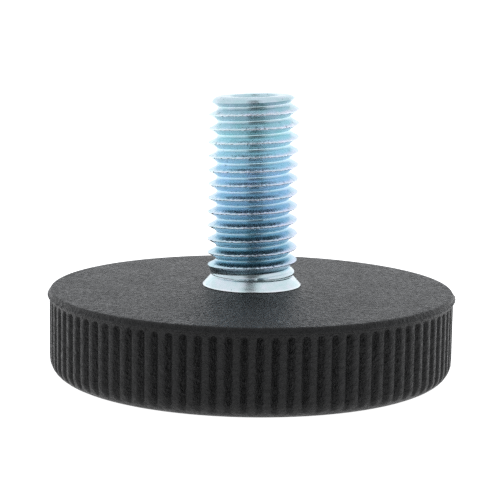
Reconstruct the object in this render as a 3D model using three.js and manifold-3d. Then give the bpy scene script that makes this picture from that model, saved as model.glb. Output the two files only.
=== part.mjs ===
// Furniture leveling foot: an M10 steel stud moulded into a fluted plastic base disc.
// Millimetres, +Z up. The origin is the centre of the underside that stands on the floor.

import * as THREE from "three";
import { mergeVertices } from "three/addons/utils/BufferGeometryUtils.js";
import Module from "manifold-3d";

// Base disc, outside. The top rises a little from the rim to a flat seat for the stud's collar.
const RIM_HEIGHT = 9.38;
const SEAT_HEIGHT = 9.66;
const SEAT_RADIUS = 6.0;
const BASE_RADIUS = 22.0;
const TOP_EDGE_RADIUS = 0.3;
const BOTTOM_EDGE_RADIUS = 2.0;
const LIP_HEIGHT = 8.78;
const LIP_PROUD = 0.24;
const LIP_SHOULDER_ANGLE = THREE.MathUtils.degToRad(25);
const FLUTE_COUNT = 90;
const FLUTE_DEPTH = 0.46;
const FLUTE_WIDTH = 0.67;
const FLUTE_TOP = 8.5;
const FLUTE_ARCH = 0.3;
const FIRST_FLUTE_ANGLE = THREE.MathUtils.degToRad(2.4);
const COLUMNS_PER_FLUTE = 3;
const EDGE_STEPS = 2;

// Base disc, underside: a rim and a hub stand on the floor, joined by radial ribs.
const TOP_PLATE = 3.0;
const RIM_INNER_RADIUS = 18.8;
const HUB_RADIUS = 10.2;
const RIB_COUNT = 6;
const RIB_WIDTH = 2.0;
const RIB_RELIEF = 0.4;
const RELIEF_STEP = 0.4;
const GATE_RADIUS = 2.4;
const GATE_DEPTH = 0.5;
const POCKET_ARC_STEPS = 4;
const RELIEF_ARC_STEPS = 18;

// Steel stud: the part that shows.
const STUD_TOP = 30.5;
const THREAD_PITCH = 1.5;
const CREST_RADIUS = 4.88;
const ROOT_RADIUS = 4.0;
const CREST_WIDTH = 0.2;
const FLANK_ANGLE = THREE.MathUtils.degToRad(30);
const CREST_HEIGHT_AT_FRONT = 12.1;
const THREAD_FOOT = 10.75;
const THREAD_FOOT_RADIUS = 4.45;
const END_RADIUS = 3.88;
const END_CHAMFER_HEIGHT = 0.9;
const END_DIMPLE_RADIUS = 1.9;
const END_DIMPLE_DEPTH = 0.3;
const COLLAR_RADIUS = 5.37;
const COLLAR_TOP_RADIUS = 4.59;
const COLLAR_HEIGHT = 0.98;
const COLLAR_EDGE = 0.12;
const STUD_SEGMENTS = 36;
const RING_MARGIN = 0.05;

// Steel stud: the part inside the plastic.
const NECK_RADIUS = 4.0;
const HEAD_SIDES = 6;
const HEAD_ACROSS_FLATS = 13.0;
const HEAD_BOTTOM = 2.2;
const HEAD_TOP = 6.0;
const MOULDING_GAP = 0.3;

const FULL_TURN = 2 * Math.PI;
const QUARTER_TURN = Math.PI / 2;
const WELD_DISTANCE = 1e-4;

// How far a cutting shape runs on past the face that it cuts.
const PAST = 1;

const wasm = await Module();
wasm.setup();

// Turns a shape made around Y, as three.js lathes and cylinders are, to stand on Z.
function upright(geometry) {
  return geometry.rotateX(QUARTER_TURN);
}

// Joins vertices that meet, and drops the triangles that this closes to nothing.
function welded(geometry) {
  const bare = geometry.index ? geometry.toNonIndexed() : geometry.clone();
  bare.deleteAttribute("normal");
  bare.deleteAttribute("uv");
  const merged = mergeVertices(bare, WELD_DISTANCE);
  const corners = merged.index.array;
  const kept = [];
  for (let i = 0; i < corners.length; i += 3) {
    const [a, b, c] = corners.subarray(i, i + 3);
    if (a !== b && b !== c && c !== a) {
      kept.push(a, b, c);
    }
  }
  return merged.setIndex(kept);
}

function solid(geometry) {
  const closed = welded(geometry);
  const mesh = new wasm.Mesh({
    numProp: 3,
    vertProperties: closed.attributes.position.array,
    triVerts: new Uint32Array(closed.index.array),
  });
  return new wasm.Manifold(mesh);
}

function geometryOf(manifold) {
  const mesh = manifold.getMesh();
  const geometry = new THREE.BufferGeometry();
  geometry.setAttribute("position", new THREE.BufferAttribute(mesh.vertProperties, 3));
  geometry.setIndex(new THREE.BufferAttribute(mesh.triVerts, 1));
  geometry.computeVertexNormals();
  return geometry;
}

// A rounded edge in a lathe profile: points on an arc from one angle to another.
function roundedEdge(centreRadius, centreHeight, radius, from, to) {
  const arc = new THREE.EllipseCurve(centreRadius, centreHeight, radius, radius, from, to);
  return arc.getPoints(EDGE_STEPS);
}

// A point of a shape made around Y, with angles as a LatheGeometry has them.
function pointAt(angle, height, radius) {
  return [radius * Math.sin(angle), height, radius * Math.cos(angle)];
}

function regularPolygon(sides, acrossFlats) {
  const shape = new THREE.Shape();
  const cornerRadius = acrossFlats / 2 / Math.cos(Math.PI / sides);
  for (let i = 0; i < sides; i += 1) {
    const angle = (i * FULL_TURN) / sides;
    const x = cornerRadius * Math.cos(angle);
    const y = cornerRadius * Math.sin(angle);
    if (i === 0) {
      shape.moveTo(x, y);
    } else {
      shape.lineTo(x, y);
    }
  }
  shape.closePath();
  return shape;
}

function prism(shape, bottom, top, curveSegments = 1) {
  const options = { depth: top - bottom, bevelEnabled: false, curveSegments };
  return new THREE.ExtrudeGeometry(shape, options).translate(0, 0, bottom);
}

function cylinder(radius, bottom, top, segments = STUD_SEGMENTS) {
  const geometry = new THREE.CylinderGeometry(radius, radius, top - bottom, segments);
  return upright(geometry).translate(0, 0, (bottom + top) / 2);
}

// Base disc -----------------------------------------------------------------

// The outline of half the disc, from the centre of the underside round to the centre of the top.
function discProfile() {
  const topRoundRadius = BASE_RADIUS - TOP_EDGE_RADIUS;
  const topRoundHeight = RIM_HEIGHT - TOP_EDGE_RADIUS;
  const bottomRoundRadius = BASE_RADIUS - BOTTOM_EDGE_RADIUS;
  return [
    new THREE.Vector2(0, 0),
    ...roundedEdge(bottomRoundRadius, BOTTOM_EDGE_RADIUS, BOTTOM_EDGE_RADIUS, -QUARTER_TURN, 0),
    new THREE.Vector2(BASE_RADIUS, FLUTE_TOP - FLUTE_ARCH),
    new THREE.Vector2(BASE_RADIUS, FLUTE_TOP),
    new THREE.Vector2(BASE_RADIUS + LIP_PROUD, LIP_HEIGHT),
    ...roundedEdge(topRoundRadius, topRoundHeight, TOP_EDGE_RADIUS, LIP_SHOULDER_ANGLE, QUARTER_TURN),
    new THREE.Vector2(SEAT_RADIUS, SEAT_HEIGHT),
    new THREE.Vector2(0, SEAT_HEIGHT),
  ];
}

// The outline turned round the axis. Each flute takes three columns of the lathe: one on
// each of its edges, and one on its floor, which runs straight down through the lower round.
function flutedDisc() {
  const profile = discProfile();
  const geometry = new THREE.LatheGeometry(profile, COLUMNS_PER_FLUTE * FLUTE_COUNT);
  const position = geometry.attributes.position;
  const halfFlute = FLUTE_WIDTH / 2 / BASE_RADIUS;
  const floorRadius = BASE_RADIUS - FLUTE_DEPTH;
  for (let i = 0; i < position.count; i += 1) {
    const column = Math.floor(i / profile.length);
    const side = (column % COLUMNS_PER_FLUTE) - 1;
    const flute = Math.floor(column / COLUMNS_PER_FLUTE);
    const angle = FIRST_FLUTE_ANGLE + (flute * FULL_TURN) / FLUTE_COUNT + side * halfFlute;
    const outline = profile[i % profile.length];
    const onFloor = side === 0 && outline.y < FLUTE_TOP;
    const radius = onFloor ? Math.min(outline.x, floorRadius) : outline.x;
    position.setXYZ(i, ...pointAt(angle, outline.y, radius));
  }
  return solid(upright(geometry));
}

// The hollows between two neighbouring ribs, from the floor up to the top plate.
function pockets() {
  const ribAngleAtHub = Math.asin(RIB_WIDTH / 2 / HUB_RADIUS);
  const ribAngleAtRim = Math.asin(RIB_WIDTH / 2 / RIM_INNER_RADIUS);
  const halfSector = FULL_TURN / RIB_COUNT / 2;
  const outline = new THREE.Shape();
  outline.absarc(0, 0, RIM_INNER_RADIUS, ribAngleAtRim - halfSector, halfSector - ribAngleAtRim, false);
  outline.absarc(0, 0, HUB_RADIUS, halfSector - ribAngleAtHub, ribAngleAtHub - halfSector, true);
  outline.closePath();
  const pocket = prism(outline, -PAST, RIM_HEIGHT - TOP_PLATE, POCKET_ARC_STEPS);
  const all = [];
  for (let i = 0; i < RIB_COUNT; i += 1) {
    all.push(solid(pocket.clone().rotateZ((i * FULL_TURN) / RIB_COUNT)));
  }
  return wasm.Manifold.union(all);
}

// Lifts the ribs clear of the floor, so that only the rim and the hub stand on it.
function ribRelief() {
  const ring = new THREE.Shape();
  ring.absarc(0, 0, RIM_INNER_RADIUS + RELIEF_STEP, 0, FULL_TURN, false);
  const hub = new THREE.Path();
  hub.absarc(0, 0, HUB_RADIUS - RELIEF_STEP, 0, FULL_TURN, true);
  ring.holes.push(hub);
  return solid(prism(ring, -PAST, RIB_RELIEF, RELIEF_ARC_STEPS));
}

// The hollow that the plastic forms around the stud's head and neck.
function studCavity() {
  const across = HEAD_ACROSS_FLATS + 2 * MOULDING_GAP;
  const head = solid(prism(regularPolygon(HEAD_SIDES, across), HEAD_BOTTOM, HEAD_TOP));
  const neck = solid(cylinder(NECK_RADIUS + MOULDING_GAP, HEAD_BOTTOM + PAST, SEAT_HEIGHT + PAST));
  return head.add(neck);
}

function baseDisc() {
  const gate = solid(cylinder(GATE_RADIUS, -PAST, GATE_DEPTH));
  return flutedDisc()
    .subtract(pockets())
    .subtract(ribRelief())
    .subtract(studCavity())
    .subtract(gate);
}

// Threaded stud -------------------------------------------------------------

// The tooth's corners over one pitch: how far up, and whether on the crest or the root.
function toothCorners() {
  const flank = (CREST_RADIUS - ROOT_RADIUS) * Math.tan(FLANK_ANGLE);
  return [
    { rise: -CREST_WIDTH / 2 - flank, radius: ROOT_RADIUS },
    { rise: -CREST_WIDTH / 2, radius: CREST_RADIUS },
    { rise: CREST_WIDTH / 2, radius: CREST_RADIUS },
    { rise: CREST_WIDTH / 2 + flank, radius: ROOT_RADIUS },
  ];
}

// The largest radius that the chamfered end allows at a height.
function endLimit(height) {
  const intoChamfer = height - (STUD_TOP - END_CHAMFER_HEIGHT);
  const slope = (CREST_RADIUS - END_RADIUS) / END_CHAMFER_HEIGHT;
  return CREST_RADIUS - slope * Math.max(0, intoChamfer);
}

// The thread fades in over its first turn, where the rolling dies run out at the collar.
function crestFade(height) {
  return THREE.MathUtils.smoothstep(height, THREAD_FOOT, THREAD_FOOT + THREAD_PITCH);
}

function threadPoint(angle, height, toothRadius) {
  if (height < THREAD_FOOT + RING_MARGIN) {
    return pointAt(angle, THREAD_FOOT, THREAD_FOOT_RADIUS);
  }
  if (height > STUD_TOP - RING_MARGIN) {
    return pointAt(angle, STUD_TOP, END_RADIUS);
  }
  const faded = THREE.MathUtils.lerp(THREAD_FOOT_RADIUS, CREST_RADIUS, crestFade(height));
  const radius = Math.min(toothRadius, faded, endLimit(height));
  return pointAt(angle, height, radius);
}

// One strip wound up the stud. Its turns share their edges, and it starts and ends
// on plain rings: whatever lies past the foot or the end is gathered onto the ring.
function threadStrip() {
  const corners = toothCorners();
  const turnsBelow = Math.ceil((CREST_HEIGHT_AT_FRONT - THREAD_FOOT) / THREAD_PITCH) + 2;
  const firstHeight = CREST_HEIGHT_AT_FRONT - turnsBelow * THREAD_PITCH;
  const turns = Math.ceil((STUD_TOP - firstHeight) / THREAD_PITCH) + 2;
  const corner = (step, index) => {
    const lap = Math.floor(index / corners.length);
    const { rise, radius } = corners[index % corners.length];
    const height = firstHeight + ((step / STUD_SEGMENTS) + lap) * THREAD_PITCH + rise;
    const angle = ((step % STUD_SEGMENTS) * FULL_TURN) / STUD_SEGMENTS;
    return threadPoint(angle, height, radius);
  };
  const positions = [];
  for (let step = 0; step < turns * STUD_SEGMENTS; step += 1) {
    for (let index = 0; index < corners.length; index += 1) {
      const a = corner(step, index);
      const b = corner(step + 1, index);
      const c = corner(step + 1, index + 1);
      const d = corner(step, index + 1);
      positions.push(...a, ...b, ...d, ...c, ...d, ...b);
    }
  }
  return positions;
}

// A lathe's triangles as a flat list of positions.
function lathePositions(profile) {
  const points = profile.map(([radius, height]) => new THREE.Vector2(radius, height));
  const geometry = new THREE.LatheGeometry(points, STUD_SEGMENTS).toNonIndexed();
  return Array.from(geometry.attributes.position.array);
}

function shank() {
  const below = lathePositions([
    [0, HEAD_BOTTOM + PAST],
    [NECK_RADIUS, HEAD_BOTTOM + PAST],
    [NECK_RADIUS, SEAT_HEIGHT],
    [COLLAR_RADIUS, SEAT_HEIGHT],
    [COLLAR_RADIUS, SEAT_HEIGHT + COLLAR_EDGE],
    [COLLAR_TOP_RADIUS, SEAT_HEIGHT + COLLAR_HEIGHT],
    [THREAD_FOOT_RADIUS, THREAD_FOOT],
  ]);
  const above = lathePositions([
    [END_RADIUS, STUD_TOP],
    [END_DIMPLE_RADIUS, STUD_TOP],
    [END_DIMPLE_RADIUS - END_DIMPLE_DEPTH, STUD_TOP - END_DIMPLE_DEPTH],
    [0, STUD_TOP - END_DIMPLE_DEPTH],
  ]);
  const geometry = new THREE.BufferGeometry();
  const positions = new Float32Array([...below, ...threadStrip(), ...above]);
  geometry.setAttribute("position", new THREE.BufferAttribute(positions, 3));
  return solid(upright(geometry));
}

function threadedStud() {
  const head = solid(prism(regularPolygon(HEAD_SIDES, HEAD_ACROSS_FLATS), HEAD_BOTTOM, HEAD_TOP));
  return shank().add(head);
}

// Assembly ------------------------------------------------------------------

const blackPlastic = new THREE.MeshStandardMaterial({
  name: "black_plastic",
  color: 0x232325,
  roughness: 0.6,
  metalness: 0,
});

const zincPlate = new THREE.MeshStandardMaterial({
  name: "blue_zinc_plate",
  color: 0x9fc4da,
  roughness: 0.3,
  metalness: 1,
});

const base = new THREE.Mesh(geometryOf(baseDisc()), blackPlastic);
base.name = "base_disc";

const stud = new THREE.Mesh(geometryOf(threadedStud()), zincPlate);
stud.name = "threaded_stud";

const foot = new THREE.Group();
foot.name = "leveling_foot";
foot.add(base, stud);

export default foot;
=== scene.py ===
# A furniture leveling foot: an M10 zinc-plated stud moulded into a fluted black plastic base.
# Shapes are worked out in millimetres in the CAD frame (+Z up) and made in metres.
import math

import bpy
import numpy as np
from mathutils import Matrix, Vector


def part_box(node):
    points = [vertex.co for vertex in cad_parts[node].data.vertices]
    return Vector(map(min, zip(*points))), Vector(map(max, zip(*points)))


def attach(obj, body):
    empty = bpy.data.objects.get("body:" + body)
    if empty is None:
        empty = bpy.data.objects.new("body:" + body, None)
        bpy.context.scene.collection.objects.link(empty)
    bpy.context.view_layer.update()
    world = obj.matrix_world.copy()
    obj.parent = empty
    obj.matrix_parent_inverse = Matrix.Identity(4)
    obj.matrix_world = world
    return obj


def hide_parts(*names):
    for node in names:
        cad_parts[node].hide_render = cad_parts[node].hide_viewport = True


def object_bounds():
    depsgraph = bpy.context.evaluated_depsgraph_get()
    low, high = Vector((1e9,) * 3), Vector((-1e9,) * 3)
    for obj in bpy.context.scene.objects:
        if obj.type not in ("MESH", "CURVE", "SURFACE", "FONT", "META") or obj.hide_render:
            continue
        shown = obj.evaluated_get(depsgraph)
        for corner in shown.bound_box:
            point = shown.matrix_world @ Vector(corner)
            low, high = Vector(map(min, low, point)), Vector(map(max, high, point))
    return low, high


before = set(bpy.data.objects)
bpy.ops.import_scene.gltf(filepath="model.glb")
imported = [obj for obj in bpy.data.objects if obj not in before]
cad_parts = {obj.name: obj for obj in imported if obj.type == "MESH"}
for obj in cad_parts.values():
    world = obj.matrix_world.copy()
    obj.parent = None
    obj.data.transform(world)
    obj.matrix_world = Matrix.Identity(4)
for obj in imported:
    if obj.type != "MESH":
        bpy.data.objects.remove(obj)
cad_low, cad_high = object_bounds()
scene = bpy.context.scene

MM = 0.001
TURN = 2 * math.pi


# Camera ---------------------------------------------------------------------

CAMERA_AT = (0.0, -182.85, 42.866)
PITCH_DOWN = math.radians(9.126)
ROLL = math.radians(0.856)
YAW = math.radians(-0.073)
FOCAL_LENGTH = 122.03


def make_camera():
    data = bpy.data.cameras.new("camera")
    data.sensor_width = 36.0
    data.lens = FOCAL_LENGTH
    data.clip_start = 0.01
    data.clip_end = 20.0
    camera = bpy.data.objects.new("camera", data)
    scene.collection.objects.link(camera)
    forward = Vector((
        math.sin(YAW) * math.cos(PITCH_DOWN),
        math.cos(YAW) * math.cos(PITCH_DOWN),
        -math.sin(PITCH_DOWN),
    ))
    level = Vector((math.cos(YAW), -math.sin(YAW), 0.0))
    upward = level.cross(forward)
    right = level * math.cos(ROLL) + upward * math.sin(ROLL)
    up = upward * math.cos(ROLL) - level * math.sin(ROLL)
    turn = Matrix((right, up, -forward)).transposed().to_4x4()
    camera.matrix_world = Matrix.Translation(Vector(CAMERA_AT) * MM) @ turn
    scene.camera = camera


make_camera()


# Mesh helpers ---------------------------------------------------------------

def polar(angle, radius, height):
    """Points in mm; angle 0 is -Y, the front, and grows towards +X."""
    angle, radius, height = np.broadcast_arrays(angle, radius, height)
    return np.stack([radius * np.sin(angle), -radius * np.cos(angle), height], -1)


def smooth(t):
    t = np.clip(t, 0.0, 1.0)
    return t * t * (3 - 2 * t)


def wave_noise(angle, height, seed, waves, coarse, fine):
    """A smooth random field on a cylinder, about -1 to 1, made of whole waves round it."""
    rng = np.random.default_rng(seed)
    total = np.zeros(np.broadcast(angle, height).shape)
    for _ in range(waves):
        around = rng.integers(coarse, fine)
        along = rng.normal(0.0, 0.12 * fine)
        total += np.cos(around * angle + along * height + rng.uniform(0, TURN))
    return total / math.sqrt(waves)


class Builder:
    """Collects points and faces, joins equal points, and makes the piece."""

    def __init__(self):
        self.points = []
        self.faces = []
        self.count = 0

    def add(self, points):
        points = np.asarray(points, float).reshape(-1, 3)
        first = self.count
        self.points.append(points)
        self.count += len(points)
        return np.arange(first, self.count)

    def quads(self, a, b, c, d):
        stacked = np.stack([np.ravel(x) for x in (a, b, c, d)], 1)
        self.faces.extend(stacked.tolist())

    def rings(self, first, second):
        """Quads between two closed rings of as many points, first inside second as seen from outside."""
        self.quads(first, np.roll(first, -1), np.roll(second, -1), second)

    def share_out(self, coarse, fine, fine_first):
        """Joins a ring to one with a whole number of times as many points."""
        share = len(fine) // len(coarse)
        for i in range(len(coarse)):
            run = [int(fine[(i * share + k) % len(fine)]) for k in range(share + 1)]
            here, after = int(coarse[i]), int(coarse[(i + 1) % len(coarse)])
            self.faces.append(run + [after, here] if fine_first else [here, after] + run[::-1])

    def cap(self, ring, centre, inward):
        for i in range(len(ring)):
            a, b = int(ring[i]), int(ring[(i + 1) % len(ring)])
            self.faces.append([a, b, int(centre)] if inward else [b, a, int(centre)])

    def piece(self, name, sharp_angle):
        points = np.concatenate(self.points)
        key = np.round(points * 1e5).astype(np.int64)
        _, keep, joined = np.unique(key, axis=0, return_index=True, return_inverse=True)
        joined = joined.ravel()
        used = []
        for face in self.faces:
            corners = [int(joined[c]) for c in face]
            clean = [c for i, c in enumerate(corners) if c != corners[i - 1]]
            if len(clean) >= 3 and len(set(clean)) == len(clean):
                used.append(clean)
        mesh = bpy.data.meshes.new(name)
        mesh.from_pydata((points[keep] * MM).tolist(), [], used)
        mesh.update()
        mesh.shade_smooth()
        mesh.set_sharp_from_angle(angle=math.radians(sharp_angle))
        made = bpy.data.objects.new(name, mesh)
        scene.collection.objects.link(made)
        return made


# Stud -----------------------------------------------------------------------

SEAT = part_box("base_disc")[1].z / MM
STUD_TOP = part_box("threaded_stud")[1].z / MM

PITCH = 1.5
CREST_RADIUS = 4.88
ROOT_RADIUS = 3.97
CREST_ROUND = 0.12
ROOT_ROUND = 0.269
CREST_AT_FRONT = 12.1
STEPS = 360
STUD_SHARP_ANGLE = 50

# The end is sheared a little out of square, and its edge is rounded over.
END_RADIUS = 3.86
END_HEIGHT = STUD_TOP - 0.15
END_TILT = 0.035
CHAMFER_HEIGHT = 0.913
CHAMFER_SLOPE = 0.797
CHAMFER_ROUND = 0.27
END_ROWS = (
    (3.80, 0.03), (3.70, 0.035), (3.2, 0.02), (2.72, 0.0), (2.65, -0.03), (2.58, -0.12), (2.51, -0.21),
    (2.42, -0.26), (2.1, -0.285), (1.4, -0.295), (0.7, -0.3),
)
DISH_DEPTH = 0.3

# The collar's cone, and the narrow neck between it and the thread's level lower end.
COLLAR_ROWS = (
    (4.0, -0.02), (5.26, -0.02), (5.345, 0.0), (5.38, 0.05), (5.375, 0.1), (5.33, 0.17),
    (5.15, 0.36), (4.95, 0.58), (4.75, 0.81), (4.64, 0.93), (4.56, 1.02), (4.50, 1.08), (4.42, 1.12),
    (4.40, 1.16), (4.40, 1.22),
)
RUN_OUT = SEAT + 1.24
THREAD_FOOT = RUN_OUT + 0.1

# Where the dies lift off, the last turn's crest shrinks and the root below it fills up.
# Turns are counted from the crest line that passes the front at CREST_AT_FRONT.
RUN_OUT_DRIFT = 0.12
LAST_CREST_RADIUS = 4.55
LAST_ROOT_RADIUS = 4.54
ROOT_FILLS_FROM = -0.2
ROOT_FILL_PER_TURN = 1.0
CREST_SHRINKS_OVER = 1.1

# Rolling marks: how far crests wander along the axis and how deep they are nicked, and over what width.
CREST_WANDER, WANDER_WIDTH = 0.03, 0.2
CREST_NICK, NICK_WIDTH = 0.01, 0.09
BLEND = 0.02

# The level rings below the thread: height over RUN_OUT and how far inside the thread's foot.
FOOT_ROWS = ((0.05, 0.0), (0.02, 0.01), (0.0, 0.045))

# The neck and head buried in the plastic, and the gap kept round them.
NECK_RADIUS = 4.0
HEAD_SIDES = 6
HEAD_HALF = 6.5
HEAD_TOP = 6.0
HEAD_BOTTOM = 2.2
HEAD_EDGE = 0.3
MOULDING_GAP = 0.3


def tooth(distance):
    """The stud's radius at an axial distance from the nearest crest line, in mm."""
    d = np.abs(distance)
    crest_edge = CREST_ROUND * math.cos(math.radians(30))
    root_edge = PITCH / 2 - ROOT_ROUND * math.cos(math.radians(30))
    on_crest = CREST_RADIUS - CREST_ROUND + np.sqrt(np.maximum(CREST_ROUND**2 - d**2, 0))
    flank_top = CREST_RADIUS - CREST_ROUND / 2
    on_flank = flank_top - (d - crest_edge) * math.tan(math.radians(60))
    into_root = PITCH / 2 - d
    on_root = ROOT_RADIUS + ROOT_ROUND - np.sqrt(np.maximum(ROOT_ROUND**2 - into_root**2, 0))
    return np.where(d < crest_edge, on_crest, np.where(d < root_edge, on_flank, on_root))


def end_plane(angle, radius):
    return END_HEIGHT + END_TILT * radius * np.sin(angle)


def run_out_crest(turns):
    return LAST_CREST_RADIUS + (CREST_RADIUS - LAST_CREST_RADIUS) * smooth((turns + 1.0) / CREST_SHRINKS_OVER)


def stud_radius(angle, height):
    """The thread with its run-out at the collar and its chamfered end."""
    above = height - RUN_OUT
    drift = RUN_OUT_DRIFT * (1 - smooth((above - 1.2) / 1.5))
    lap = (height - drift - CREST_AT_FRONT) / PITCH - angle / TURN
    distance = (lap - np.round(lap)) * PITCH
    nick = wave_noise(angle, height, 5, 14, 40, 150)
    wander = wave_noise(angle, height, 6, 10, 12, 90)
    radius = tooth(distance + CREST_WANDER * wander * np.exp(-((distance / WANDER_WIDTH) ** 2)))
    near_crest = np.exp(-((distance / NICK_WIDTH) ** 2))
    radius = radius + near_crest * CREST_NICK * nick
    turn = np.where(angle > math.pi, angle - TURN, angle) / TURN
    gap = np.floor((height - drift - CREST_AT_FRONT) / PITCH - turn) + 0.5 + turn
    into_gap = (height - drift - CREST_AT_FRONT) / PITCH - gap
    filling = ROOT_FILL_PER_TURN * np.maximum(ROOT_FILLS_FROM - gap, 0.0)
    root = np.minimum(ROOT_RADIUS + filling, LAST_ROOT_RADIUS)
    crest = run_out_crest(gap + 0.5 * np.sign(into_gap))
    filled = root + (crest - root) * np.minimum(np.abs(into_gap) * 2, 1.0)
    filled = np.where(filling > 0, filled, 0.0)
    radius = np.minimum(radius, run_out_crest(gap + into_gap) + BLEND)
    radius = BLEND * np.logaddexp(radius / BLEND, filled / BLEND)
    below = height - end_plane(angle, END_RADIUS) + CHAMFER_HEIGHT
    limit = CREST_RADIUS + BLEND - CHAMFER_SLOPE * np.maximum(below, -0.4)
    limit = limit - CHAMFER_ROUND * np.maximum(below / CHAMFER_HEIGHT, 0.0) ** 11
    return -BLEND * np.logaddexp(-radius / BLEND, -limit / BLEND)


def hexagon(angles, half_across_flats):
    """Distance from the axis to a hexagon's side at each angle."""
    sector = TURN / HEAD_SIDES
    return half_across_flats / np.cos((angles + sector / 2) % sector - sector / 2)


def tooth_rows():
    crest = [CREST_ROUND * math.sin(math.radians(a)) for a in (0, 20, 40, 60)]
    root = [PITCH / 2 - ROOT_ROUND * math.sin(math.radians(a)) for a in (60, 40, 20, 0)]
    flank = [crest[-1] + (root[0] - crest[-1]) * k / 3 for k in (1, 2)]
    half = crest + flank + root
    return half + [PITCH - d for d in half[-2:0:-1]]


def stud_piece():
    build = Builder()
    angles = np.arange(STEPS) * TURN / STEPS
    rows = np.array(tooth_rows())
    first = CREST_AT_FRONT - 3 * PITCH
    turns = math.ceil((STUD_TOP - first) / PITCH) + 2
    step = np.arange(turns * STEPS + STEPS + 1)
    angle = (step % STEPS) * TURN / STEPS
    height = first + PITCH * step[:, None] / STEPS + rows[None, :]
    top = end_plane(angle, END_RADIUS)[:, None]
    margin = 0.012
    height = np.where(height < THREAD_FOOT + margin, THREAD_FOOT, height)
    height = np.where(height > top - margin, top, height)
    radius = stud_radius(np.broadcast_to(angle[:, None], height.shape), height)
    radius = np.where(height >= top, END_RADIUS, radius)
    index = build.add(polar(angle[:, None], radius, height)).reshape(height.shape)
    last = turns * STEPS
    for j in range(len(rows)):
        a, b = index[:last, j], index[1:last + 1, j]
        if j + 1 < len(rows):
            c, d = index[1:last + 1, j + 1], index[:last, j + 1]
        else:
            c, d = index[STEPS + 1:last + STEPS + 1, 0], index[STEPS:last + STEPS, 0]
        build.quads(a, b, c, d)
    above = build.add(polar(angles, stud_radius(angles, np.full(STEPS, THREAD_FOOT)), THREAD_FOOT))
    for h, inset in FOOT_ROWS:
        level = np.full(STEPS, RUN_OUT + h)
        ring = build.add(polar(angles, stud_radius(angles, level) - inset, level))
        build.rings(ring, above)
        above = ring
    for r, h in COLLAR_ROWS[::-1]:
        ring = build.add(polar(angles, r, SEAT + h))
        build.rings(ring, above)
        above = ring
    head = hexagon(angles, HEAD_HALF)
    head_rows = (
        (NECK_RADIUS, HEAD_TOP),
        (head - HEAD_EDGE, HEAD_TOP),
        (head, HEAD_TOP - HEAD_EDGE),
        (head, HEAD_BOTTOM + HEAD_EDGE),
        (head - HEAD_EDGE, HEAD_BOTTOM),
    )
    for r, h in head_rows:
        ring = build.add(polar(angles, r, h))
        build.rings(ring, above)
        above = ring
    build.cap(above, build.add([[0, 0, HEAD_BOTTOM]])[0], inward=False)
    rim = build.add(polar(angles, END_RADIUS, end_plane(angles, END_RADIUS)))
    below = rim
    for r, h in END_ROWS:
        ring = build.add(polar(angles, r, end_plane(angles, r) + h))
        build.rings(below, ring)
        below = ring
    build.cap(below, build.add([[0, 0, END_HEIGHT - DISH_DEPTH]])[0], inward=True)
    return build.piece("zinc_plated_stud", STUD_SHARP_ANGLE)


# Base disc ------------------------------------------------------------------

RIM_RADIUS = 22.0
RIM_HEIGHT = 9.38
FLUTES = 90
FLUTE_HALF = 0.4
FLUTE_DEPTH = 0.46
FLUTE_TOP = 8.5
FLUTE_ARCH = 0.1
FLUTE_FADE = 0.35
FLUTE_FLOOR_ROUND = 0.03
FLUTE_SHOULDER_ROUND = 0.07
FIRST_FLUTE = math.radians(2.4)
LIP_HEIGHT = 8.78
LIP_PROUD = 0.235
LIP_WIDTH = 0.15
LIP_RAGGED = 0.018
RAGGED_WIDTH = 0.2
TOP_ROUND = 0.3
BOTTOM_ROUND = 2.0
COARSE = 360
SEAT_RADIUS = 6.0
DISC_SHARP_ANGLE = 40


def flute_shape(angle):
    """How deep the flute is at an angle, 0 on a land and 1 on the flute's floor."""
    spacing = TURN / FLUTES
    offset = (angle - FIRST_FLUTE + spacing / 2) % spacing - spacing / 2
    across = np.abs(offset) * RIM_RADIUS
    walls = 1 - np.sqrt((across / FLUTE_HALF) ** 2 + FLUTE_FLOOR_ROUND) + math.sqrt(FLUTE_FLOOR_ROUND)
    soft = FLUTE_SHOULDER_ROUND
    return soft * np.logaddexp(walls / soft, 0.0), across


def fine_angles():
    """Columns crowded on the flutes' shoulders."""
    spacing = TURN / FLUTES
    across = np.array([0.0, 0.09, 0.2, 0.31, 0.4, 0.5]) / RIM_RADIUS
    inner = np.concatenate([-across[:0:-1], across])
    columns = np.sort(np.concatenate([inner, [spacing / 2]]))
    return (FIRST_FLUTE + np.arange(FLUTES)[:, None] * spacing + columns[None, :]).ravel()


def disc_rows():
    """(radius, height) from the floor up to the flat top."""
    rows = [(RIM_RADIUS - BOTTOM_ROUND, 0.0)]
    for a in (10, 20, 30, 40, 50, 60, 70, 80):
        t = math.radians(a)
        rows.append((RIM_RADIUS - BOTTOM_ROUND + BOTTOM_ROUND * math.sin(t),
                     BOTTOM_ROUND * (1 - math.cos(t))))
    rows += [(RIM_RADIUS, h) for h in (2.2, 3.6, 5.2, 6.8)]
    rows += [(RIM_RADIUS, FLUTE_TOP - d) for d in (0.7, 0.5, 0.38, 0.28, 0.2, 0.13, 0.07, 0.01)]
    for above in (-0.23, -0.17, -0.11, -0.05, 0.0, 0.05, 0.11, 0.17, 0.23, 0.29):
        lip = LIP_PROUD * math.exp(-((above / LIP_WIDTH) ** 2))
        rows.append((RIM_RADIUS + lip, LIP_HEIGHT + above))
    for a in (8, 24, 40, 56, 72, 90):
        t = math.radians(a)
        rows.append((RIM_RADIUS - TOP_ROUND + TOP_ROUND * math.cos(t),
                     RIM_HEIGHT - TOP_ROUND + TOP_ROUND * math.sin(t)))
    return rows


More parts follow.
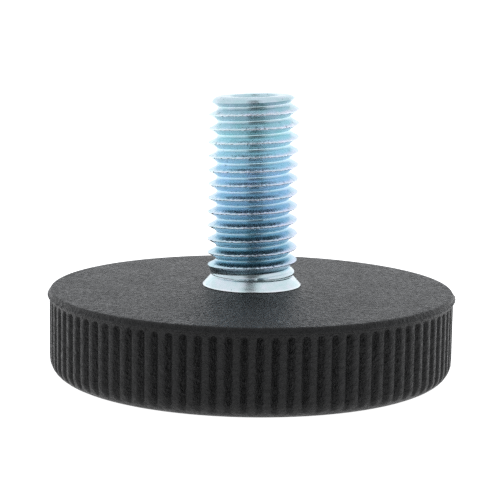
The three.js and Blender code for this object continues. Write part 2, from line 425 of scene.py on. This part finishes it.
def disc_side(build):
    angle = fine_angles()
    depth, across = flute_shape(angle)
    wobble = wave_noise(angle, 0.0, 11, 12, 6, 90)
    rings = []
    floor = RIM_RADIUS - FLUTE_DEPTH
    arch = FLUTE_TOP - FLUTE_ARCH * np.minimum(across / FLUTE_HALF, 1.0) ** 2
    for radius, height in disc_rows():
        reach = smooth((arch - height) / FLUTE_FADE)
        groove = radius + min(floor - radius, 0.0) * depth * reach
        on_lip = math.exp(-(((height - LIP_HEIGHT) / RAGGED_WIDTH) ** 2))
        r = groove + on_lip * LIP_RAGGED * wobble
        rings.append(build.add(polar(angle, r, height)))
    for lower, upper in zip(rings, rings[1:]):
        build.rings(lower, upper)
    return angle, rings[0], rings[-1]


def disc_top(build, angle, edge):
    flat = RIM_RADIUS - TOP_ROUND
    inner = angle[::len(angle) // COARSE]

    def crown(r):
        return RIM_HEIGHT + (SEAT - RIM_HEIGHT) * min((flat - r) / (flat - SEAT_RADIUS), 1.0)

    ring = build.add(polar(angle, flat - 0.25, crown(flat - 0.25)))
    build.rings(edge, ring)
    coarse = build.add(polar(inner, flat - 0.6, crown(flat - 0.6)))
    build.share_out(coarse, ring, fine_first=True)
    outer = coarse
    for r in (19.0, 16.5, 14.0, 11.5, 9.5, 8.0, 6.8, 6.0, 5.2, 4.3):
        ring = build.add(polar(inner, r, crown(r)))
        build.rings(outer, ring)
        outer = ring
    pocket = hexagon(inner, HEAD_HALF + MOULDING_GAP)
    for r, h in ((NECK_RADIUS + MOULDING_GAP, HEAD_TOP), (pocket, HEAD_TOP), (pocket, HEAD_BOTTOM)):
        ring = build.add(polar(inner, r, h))
        build.rings(outer, ring)
        outer = ring
    build.cap(outer, build.add([[0, 0, HEAD_BOTTOM]])[0], inward=True)


RIBS = 6
RIB_HALF = 1.0
POCKET_ROOF = 6.4
RIM_INNER = 18.8
HUB_RADIUS = 10.2
RELIEF = 0.4
FREE_COLUMNS = 40
FREE_ROWS = 7

# The mark of the moulding gate in the hub: radius and depth.
GATE_ROWS = ((8.0, 0.0), (2.9, 0.0), (2.5, 0.06), (2.35, 0.3), (2.1, 0.5), (1.0, 0.5))
GATE_DEPTH = 0.5


def wall_profile():
    """(distance into the pocket from its wall, height share 0 to 1), with rounded lip and root."""
    lip, root, draft = 0.25, 0.5, 0.08
    rows = []
    for a in (0, 30, 60, 90):
        t = math.radians(a)
        rows.append((-lip + lip * math.sin(t), lip * (1 - math.cos(t))))
    for a in (0, 22, 45, 68, 90):
        t = math.radians(a)
        rows.append((draft + root * (1 - math.cos(t)), POCKET_ROOF - root + root * math.sin(t)))
    return rows


def disc_underside(build, angle, edge):
    """Rim, ribs, hub and the pockets between them, as one grid that follows their walls."""
    wall = wall_profile()
    into = np.array([w[0] for w in wall])
    deep = np.array([w[1] for w in wall])
    column_off = np.concatenate([[-RIB_HALF * 0.5], into])
    column_deep = np.concatenate([[0.0], deep])
    free = np.linspace(0, 1, FREE_COLUMNS + 2)[1:-1]
    radii = np.concatenate([
        [RIM_INNER + 0.7], RIM_INNER - into, np.linspace(RIM_INNER - 1.2, HUB_RADIUS + 1.2, FREE_ROWS),
        (HUB_RADIUS + into)[::-1], [HUB_RADIUS - 0.7],
    ])
    row_deep = np.concatenate([[0.0], deep, np.full(FREE_ROWS, POCKET_ROOF), deep[::-1], [0.0]])
    from_rim = smooth((RIM_INNER + 0.45 - radii) / 0.4)
    from_hub = smooth((radii - HUB_RADIUS + 0.45) / 0.4)
    relief = RELIEF * from_rim * from_hub
    grid = []
    for radius, row, lift in zip(radii, row_deep, relief):
        near = np.arcsin((RIB_HALF + column_off) / max(radius, 1.0))
        half = TURN / RIBS / 2
        left = -half + near
        right = half - near[::-1]
        middle = left[-1] + (right[0] - left[-1]) * free
        columns = np.concatenate([[-half], left, middle, right])
        shares = np.concatenate([[0.0], column_deep, np.full(len(free), POCKET_ROOF), column_deep[::-1]])
        height = np.minimum(row, shares)
        height = np.maximum(height, lift)
        turned = (np.arange(RIBS)[:, None] * 2 * half + columns[None, :]).ravel()
        spots = build.add(polar(turned + TURN / 4, radius, np.tile(height, RIBS)))
        grid.append(spots)
    inner = angle[::len(angle) // COARSE]
    coarse = build.add(polar(inner, RIM_RADIUS - BOTTOM_ROUND - 0.4, 0.0))
    build.share_out(coarse, edge, fine_first=False)
    join_flat(build, grid[0], coarse)
    for outside, inside in zip(grid, grid[1:]):
        build.rings(inside, outside)
    last = grid[-1]
    spread = ring_angles(build, last)
    for r, h in GATE_ROWS:
        ring = build.add(polar(spread, r, h))
        build.rings(ring, last)
        last = ring
    build.cap(last, build.add([[0, 0, GATE_DEPTH]])[0], inward=False)


def ring_angles(build, ring):
    points = np.concatenate(build.points)[ring]
    return np.arctan2(points[:, 0], -points[:, 1]) % TURN


def join_flat(build, inside, outside):
    """Joins two rings that lie in one plane and have different numbers of points."""
    inner = np.roll(inside, -int(np.argmin(ring_angles(build, inside))))
    outer = np.roll(outside, -int(np.argmin(ring_angles(build, outside))))
    a, b = ring_angles(build, inner), ring_angles(build, outer)
    i = j = 0
    while i < len(inner) or j < len(outer):
        next_a = a[i + 1] if i + 1 < len(inner) else TURN + a[0]
        next_b = b[j + 1] if j + 1 < len(outer) else TURN + b[0]
        here_a, here_b = int(inner[i % len(inner)]), int(outer[j % len(outer)])
        if j >= len(outer) or (i < len(inner) and next_a <= next_b):
            build.faces.append([here_a, int(inner[(i + 1) % len(inner)]), here_b])
            i += 1
        else:
            build.faces.append([here_a, int(outer[(j + 1) % len(outer)]), here_b])
            j += 1


def disc_piece():
    build = Builder()
    angle, bottom, top = disc_side(build)
    disc_top(build, angle, top)
    disc_underside(build, angle, bottom)
    return build.piece("fluted_base", DISC_SHARP_ANGLE)


# Materials ------------------------------------------------------------------

def node_maths(tree, operation, values):
    """A Math node whose sockets take the values, each a number or another node's output."""
    node = tree.nodes.new("ShaderNodeMath")
    node.operation = operation
    for socket, value in zip(node.inputs, values):
        if isinstance(value, (int, float)):
            socket.default_value = value
        else:
            tree.links.new(value, socket)
    return node.outputs[0]


class Nodes:
    """A material's node tree. Noise scales are per mm, bump distances in mm."""

    def __init__(self, name):
        self.material = bpy.data.materials.new(name)
        self.material.use_nodes = True
        self.tree = self.material.node_tree
        self.shader = self.tree.nodes["Principled BSDF"]
        self.place = self.add("ShaderNodeTexCoord").outputs["Object"]

    def add(self, kind, **settings):
        node = self.tree.nodes.new(kind)
        for key, value in settings.items():
            setattr(node, key, value)
        return node

    def link(self, a, b):
        self.tree.links.new(a, b)

    def noise(self, per_mm, detail=2.0, rough=0.5, stretch=None):
        texture = self.add("ShaderNodeTexNoise")
        texture.inputs["Scale"].default_value = per_mm / MM
        texture.inputs["Detail"].default_value = detail
        texture.inputs["Roughness"].default_value = rough
        place = self.place
        if stretch:
            mapping = self.add("ShaderNodeMapping")
            mapping.inputs["Scale"].default_value = stretch
            self.link(place, mapping.inputs["Vector"])
            place = mapping.outputs["Vector"]
        self.link(place, texture.inputs["Vector"])
        return texture.outputs["Fac"]

    def range(self, value, low, high, to_low, to_high):
        node = self.add("ShaderNodeMapRange")
        node.inputs["From Min"].default_value = low
        node.inputs["From Max"].default_value = high
        node.inputs["To Min"].default_value = to_low
        node.inputs["To Max"].default_value = to_high
        self.link(value, node.inputs["Value"])
        return node.outputs["Result"]

    def ramp(self, value, stops):
        node = self.add("ShaderNodeValToRGB")
        elements = node.color_ramp.elements
        while len(elements) < len(stops):
            elements.new(0.5)
        for element, (position, colour) in zip(elements, stops):
            element.position = position
            element.color = (*colour, 1.0)
        self.link(value, node.inputs["Fac"])
        return node.outputs["Color"]

    def mix(self, factor, a, b, blend="MIX"):
        node = self.add("ShaderNodeMix", data_type="RGBA", blend_type=blend)
        if isinstance(factor, float):
            node.inputs["Factor"].default_value = factor
        else:
            self.link(factor, node.inputs["Factor"])
        self.link(a, node.inputs[6])
        if isinstance(b, tuple):
            node.inputs[7].default_value = (*b, 1.0)
        else:
            self.link(b, node.inputs[7])
        return node.outputs[2]

    def maths(self, operation, *values):
        return node_maths(self.tree, operation, values)

    def bump(self, height, distance_mm, after=None):
        node = self.add("ShaderNodeBump")
        node.inputs["Strength"].default_value = 1.0
        node.inputs["Distance"].default_value = distance_mm * MM
        self.link(height, node.inputs["Height"])
        if after is not None:
            self.link(after, node.inputs["Normal"])
        return node.outputs["Normal"]


# Noise cells per mm and bump heights in mm.
GRAIN_PER_MM, GRAIN_BUMP = 2.0, 0.34
PITS_PER_MM, PIT_BUMP = 7.0, 0.05
CLOUD_PER_MM = 0.3
PLASTIC_IOR = 1.345
DRAWN_PER_MM, DRAWN_BUMP = 0.9, 0.008
SPECKS_PER_MM, SPECK_BUMP = 4.5, 0.003
DRIFT_PER_MM = 0.16
MOTTLE_PER_MM = 0.8
SCUFFS_PER_MM = 2.4


def black_plastic():
    n = Nodes("black_plastic")
    shader = n.shader
    grain = n.noise(GRAIN_PER_MM, 3.5, 0.7)
    cloud = n.noise(CLOUD_PER_MM, 2.0, 0.5)
    pits = n.noise(PITS_PER_MM, 2.0, 0.6)
    colour = n.ramp(grain, [(0.3, (0.0025, 0.0025, 0.0026)), (0.7, (0.0085, 0.0085, 0.0090))])
    n.link(colour, shader.inputs["Base Color"])
    grain_rough = n.range(grain, 0.35, 0.65, 0.56, 0.34)
    cloud_rough = n.range(cloud, 0.3, 0.7, -0.03, 0.03)
    n.link(n.maths("ADD", grain_rough, cloud_rough), shader.inputs["Roughness"])
    shader.inputs["IOR"].default_value = PLASTIC_IOR
    normal = n.bump(grain, GRAIN_BUMP)
    normal = n.bump(pits, PIT_BUMP, after=normal)
    n.link(normal, shader.inputs["Normal"])
    return n.material


def zinc_plate():
    n = Nodes("blue_zinc_plate")
    shader = n.shader
    shader.inputs["Metallic"].default_value = 1.0
    split = n.add("ShaderNodeSeparateXYZ")
    n.link(n.place, split.inputs[0])
    x, y, z = split.outputs
    drift = n.range(n.noise(DRIFT_PER_MM, 2.0, 0.5), 0.3, 0.7, -0.07, 0.07)
    # Base colour by height: darker and greener low on the stud, lighter and bluer higher up, with a slow
    # random drift. The painted crest and collar highlights are mixed into it below.
    tint_and_highlights = n.ramp(n.maths("ADD", n.range(z, 0.010, 0.030, 0.0, 1.0), drift), [
        (0.15, (0.325, 0.520, 0.630)),
        (0.40, (0.380, 0.560, 0.705)),
        (0.60, (0.430, 0.610, 0.755)),
        (0.80, (0.475, 0.675, 0.740)),
        (1.00, (0.48, 0.61, 0.67)),
    ])
    # Painted highlight: the crests and the tops of the flanks, beyond 4.4 mm from the axis, are painted up to
    # 60% towards near white, turning lilac towards +X. This stands for the bright highlight lines along the
    # crests.
    squares = n.maths("ADD", n.maths("MULTIPLY", x, x), n.maths("MULTIPLY", y, y))
    radius = n.maths("SQRT", squares)
    on_crest = n.range(radius, 0.0044, 0.0049, 0.0, 1.0)
    crest = n.ramp(n.range(x, -0.004, 0.004, 0.0, 1.0), [
        (0.0, (0.70, 0.79, 0.84)),
        (1.0, (0.77, 0.73, 0.87)),
    ])
    tint_and_highlights = n.mix(n.maths("MULTIPLY", on_crest, 0.6), tint_and_highlights, crest)
    # The collar below 11.5 mm is paler and greyer than the thread. Its lowest part, below about 9.8 mm, is
    # painted near white as a painted highlight along its lower edge.
    collar = n.ramp(n.range(z, 0.0096, 0.0116, 0.0, 1.0), [
        (0.08, (0.82, 0.87, 0.90)),
        (0.16, (0.60, 0.69, 0.73)),
        (1.00, (0.59, 0.69, 0.74)),
    ])
    tint_and_highlights = n.mix(n.range(z, 0.0115, 0.0117, 0.0, 1.0), collar, tint_and_highlights)
    mottle = n.noise(MOTTLE_PER_MM, 4.0, 0.65, stretch=(1.0, 1.0, 2.5))
    tint = n.ramp(mottle, [
        (0.30, (0.84, 0.96, 0.93)),
        (0.50, (0.97, 0.99, 0.98)),
        (0.70, (1.12, 1.02, 1.06)),
    ])
    colour = n.mix(1.0, tint_and_highlights, tint, "MULTIPLY")
    scuff = n.ramp(n.noise(SCUFFS_PER_MM, 1.0, 0.4), [
        (0.71, (1.0, 1.0, 1.0)),
        (0.77, (0.5, 0.52, 0.55)),
    ])
    colour = n.mix(1.0, colour, scuff, "MULTIPLY")
    n.link(colour, shader.inputs["Base Color"])
    drawn = n.noise(DRAWN_PER_MM, 3.0, 0.6, stretch=(1.0, 1.0, 9.0))
    rough = n.range(drawn, 0.3, 0.7, 0.21, 0.30)
    n.link(rough, shader.inputs["Roughness"])
    speck = n.noise(SPECKS_PER_MM, 2.0, 0.5)
    normal = n.bump(drawn, DRAWN_BUMP)
    normal = n.bump(speck, SPECK_BUMP, after=normal)
    n.link(normal, shader.inputs["Normal"])
    return n.material


# The two pieces --------------------------------------------------------------

stud = stud_piece()
stud.data.materials.append(zinc_plate())
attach(stud, "root")
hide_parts("threaded_stud")

base = disc_piece()
base.data.materials.append(black_plastic())
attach(base, "root")
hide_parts("base_disc")


# Stage and light --------------------------------------------------------------

class StageNodes:
    """Arithmetic on a node tree's numbers, for the floor and the world."""

    def __init__(self, tree):
        self.tree = tree

    def split(self, output):
        where = self.tree.nodes.new("ShaderNodeTexCoord")
        parts = self.tree.nodes.new("ShaderNodeSeparateXYZ")
        self.tree.links.new(where.outputs[output], parts.inputs[0])
        return parts.outputs

    def maths(self, operation, *values):
        return node_maths(self.tree, operation, values)

    def step(self, value, low, high):
        node = self.tree.nodes.new("ShaderNodeMapRange")
        node.interpolation_type = "SMOOTHSTEP"
        node.inputs["From Min"].default_value = low
        node.inputs["From Max"].default_value = high
        self.tree.links.new(value, node.inputs["Value"])
        return node.outputs["Result"]

    def less(self, value):
        return self.maths("SUBTRACT", 1.0, value)

    def grey(self, value):
        node = self.tree.nodes.new("ShaderNodeCombineColor")
        for socket in node.inputs:
            self.tree.links.new(value, socket)
        return node.outputs[0]


# The tent's gap as the floor sees it, in radians: bearing of its middle, half width and soft edge.
GAP_TURN = 0.16
GAP_HALF = 0.44
GAP_EDGE = 0.14
FLOOR_SIDE = 2.0
BELOW_FOOT = 0.00002
FLOOR_BASE = 0.5


def make_floor():
    """A white table, which darkens in front of the picture's edge, most of all below the camera."""
    mesh = bpy.data.meshes.new("floor")
    side = FLOOR_SIDE
    corners = [(-side, -side, 0), (side, -side, 0), (side, side, 0), (-side, side, 0)]
    mesh.from_pydata(corners, [], [(0, 1, 2, 3)])
    floor = bpy.data.objects.new("floor", mesh)
    floor.location.z = cad_low.z - BELOW_FOOT
    scene.collection.objects.link(floor)
    material = bpy.data.materials.new("light_table")
    material.use_nodes = True
    shader = material.node_tree.nodes["Principled BSDF"]
    n = StageNodes(material.node_tree)
    x, y, _ = n.split("Object")
    forward = n.maths("MULTIPLY", y, -1.0)
    ahead = n.step(forward, 0.048, 0.085)
    bearing = n.maths("ARCTAN2", x, forward)
    off = n.maths("ABSOLUTE", n.maths("SUBTRACT", bearing, GAP_TURN))
    gap = n.less(n.step(off, GAP_HALF - GAP_EDGE, GAP_HALF + GAP_EDGE))
    loss = n.maths("ADD", 0.40, n.maths("MULTIPLY", gap, 0.22))
    light = n.less(n.maths("MULTIPLY", ahead, loss))
    n.tree.links.new(n.grey(n.maths("MULTIPLY", light, FLOOR_BASE)), shader.inputs["Base Color"])
    n.tree.links.new(n.grey(light), shader.inputs["Emission Color"])
    shader.inputs["Roughness"].default_value = 0.9
    shader.inputs["Emission Strength"].default_value = 1.0
    mesh.materials.append(material)


def make_world():
    """A white light tent with a darker gap at the front, which narrows towards the zenith.

    Generated coordinates are the direction looked in, so z is the sine of its height.
    """
    world = bpy.data.worlds.new("tent")
    scene.world = world
    world.use_nodes = True
    background = world.node_tree.nodes["Background"]
    n = StageNodes(world.node_tree)
    x, y, z = n.split("Generated")
    high = n.step(z, 0.2, 0.9)
    width = n.maths("SUBTRACT", 0.50, n.maths("MULTIPLY", high, 0.35))
    centre = n.maths("SUBTRACT", 0.14, n.maths("MULTIPLY", high, 0.19))
    beyond = n.maths("DIVIDE", n.maths("ABSOLUTE", n.maths("SUBTRACT", x, centre)), width)
    gap = n.less(n.step(beyond, 0.7, 1.2))
    front = n.less(n.step(y, -0.16, -0.04))
    dark = n.maths("MULTIPLY", gap, front)
    low = n.less(n.step(z, 0.35, 0.75))
    ahead = n.less(n.step(y, -0.6, 0.2))
    behind = n.maths("MULTIPLY", n.less(n.step(z, 0.3, 0.6)), n.step(y, 0.2, 0.7))
    walls = n.maths("SUBTRACT", 1.12, n.maths("MULTIPLY", 0.2, n.maths("MULTIPLY", low, ahead)))
    walls = n.maths("ADD", walls, n.maths("MULTIPLY", behind, 0.22))
    depth = n.maths("SUBTRACT", 0.85, n.maths("MULTIPLY", n.step(z, 0.84, 0.91), 0.60))
    depth = n.maths("ADD", depth, n.maths("MULTIPLY", n.step(z, 0.925, 0.945), 0.72))
    strength = n.maths("MULTIPLY", walls, n.less(n.maths("MULTIPLY", dark, depth)))
    n.tree.links.new(strength, background.inputs["Strength"])
    background.inputs["Color"].default_value = (0.955, 0.975, 1.0, 1.0)


make_floor()
make_world()
scene.cycles.use_denoising = False
scene.view_settings.view_transform = "Standard"
scene.view_settings.look = "None"
scene.view_settings.exposure = 0.0
scene.view_settings.gamma = 1.0
